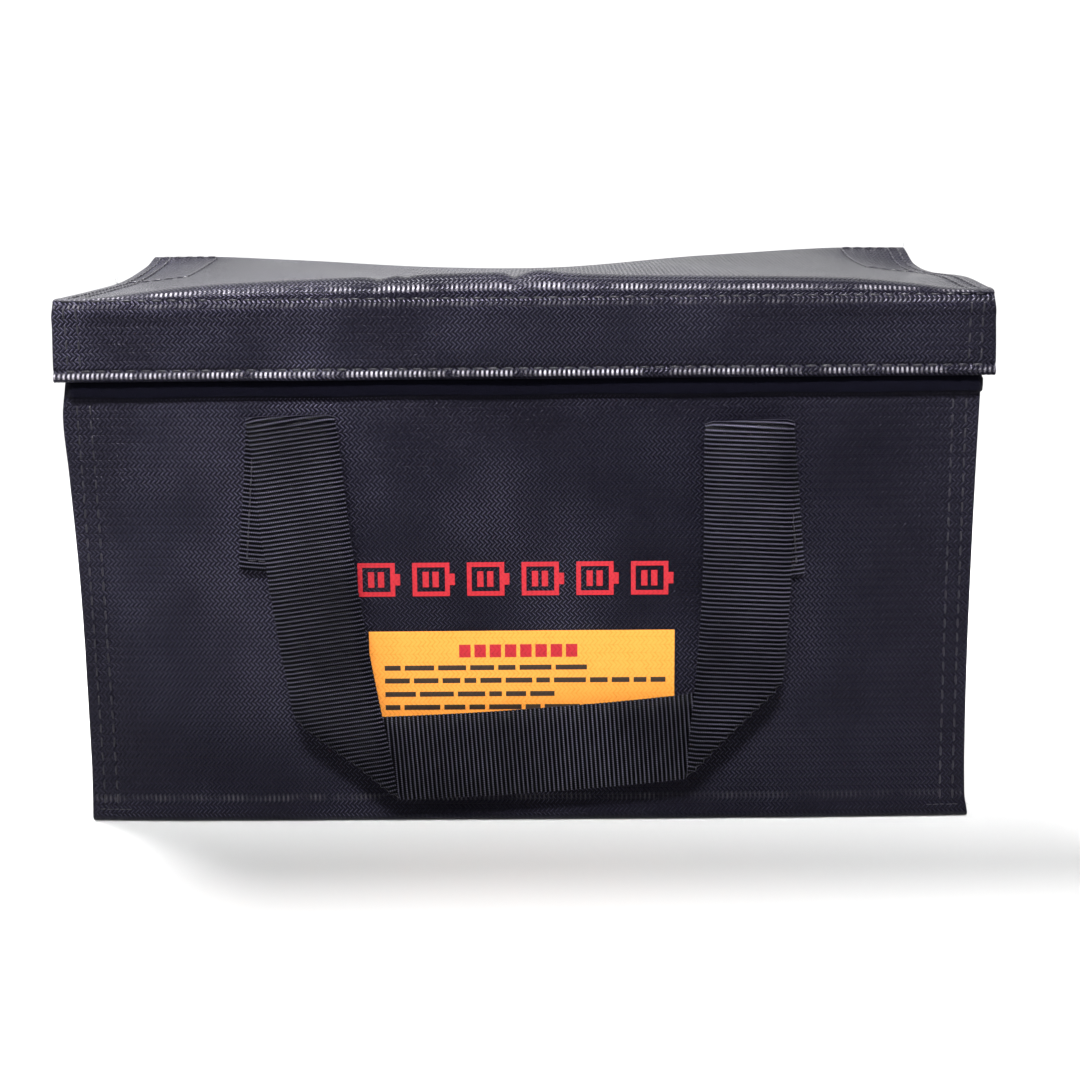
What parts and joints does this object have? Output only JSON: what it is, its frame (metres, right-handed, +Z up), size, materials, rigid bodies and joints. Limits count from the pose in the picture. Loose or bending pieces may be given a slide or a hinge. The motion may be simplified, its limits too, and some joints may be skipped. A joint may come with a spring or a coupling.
{
  "type": "fire-resistant battery bag",
  "caption": "Rectangular soft box bag for charging and storing lithium packs, with a fold-back lid, hook-and-loop skirt and a hanging webbing handle on the front and rear.",
  "frame": {"origin": "middle of the base, on the surface that the bag stands on", "axes": "+X to the right seen from the front, +Y to the rear where the lid folds, +Z up"},
  "size_m": [0.2658, 0.14, 0.1569],
  "materials": {
    "coated_cloth": "glossy coated glass-cloth weave",
    "lining_cloth": "plain matt glass-cloth weave",
    "webbing": "ribbed nylon webbing, slight sheen",
    "loop_tape": "matt velvet loop pile",
    "hook_tape": "stiff hook tape, low sheen",
    "thread": "twisted polyester thread",
    "label_print": "screen print, weave showing through",
    "mark_print": "screen print, weave showing through"
  },
  "bodies": {
    "bag": {"body_wrap": "coated_cloth", "side_gusset_left": "coated_cloth", "side_gusset_right": "coated_cloth", "lining_wrap": "lining_cloth", "lining_side_left": "lining_cloth", "lining_side_right": "lining_cloth", "loop_tape": "loop_tape", "loop_tape_threads": "thread", "rim_threads": "thread", "corner_seam_threads": "thread", "base_corner_threads": "thread", "label_print": "label_print", "mark_print": "mark_print", "front_handle_tab_left": "webbing", "front_handle_tab_right": "webbing", "rear_handle_tab_left": "webbing", "rear_handle_tab_right": "webbing", "front_tab_threads": "thread", "rear_tab_threads": "thread"},
    "lid": {"lid_wrap": "coated_cloth", "lid_side_skirt_left": "coated_cloth", "lid_side_skirt_right": "coated_cloth", "lid_corner_patch_left": "coated_cloth", "lid_corner_patch_right": "coated_cloth", "lid_lining": "lining_cloth", "hook_tape_front": "hook_tape", "hook_tape_left": "hook_tape", "hook_tape_right": "hook_tape", "lid_edge_threads": "thread", "lid_skirt_threads": "thread", "patch_threads": "thread"},
    "front_handle": {"front_handle_strap": "webbing"},
    "rear_handle": {"rear_handle_strap": "webbing"}
  },
  "joints": [
    {"name": "lid_hinge", "type": "hinge", "parent": "bag", "child": "lid", "pos_m": [0, 0.065, 0.1559], "axis": [-1, 0, 0], "range_deg": [0, 90]},
    {"name": "front_handle_swing", "type": "hinge", "parent": "bag", "child": "front_handle", "pos_m": [0, -0.0692, 0.121], "axis": [-1, 0, 0], "range_deg": [0, 172]},
    {"name": "rear_handle_swing", "type": "hinge", "parent": "bag", "child": "rear_handle", "pos_m": [0, 0.0692, 0.121], "axis": [1, 0, 0], "range_deg": [0, 172]}
  ]
}
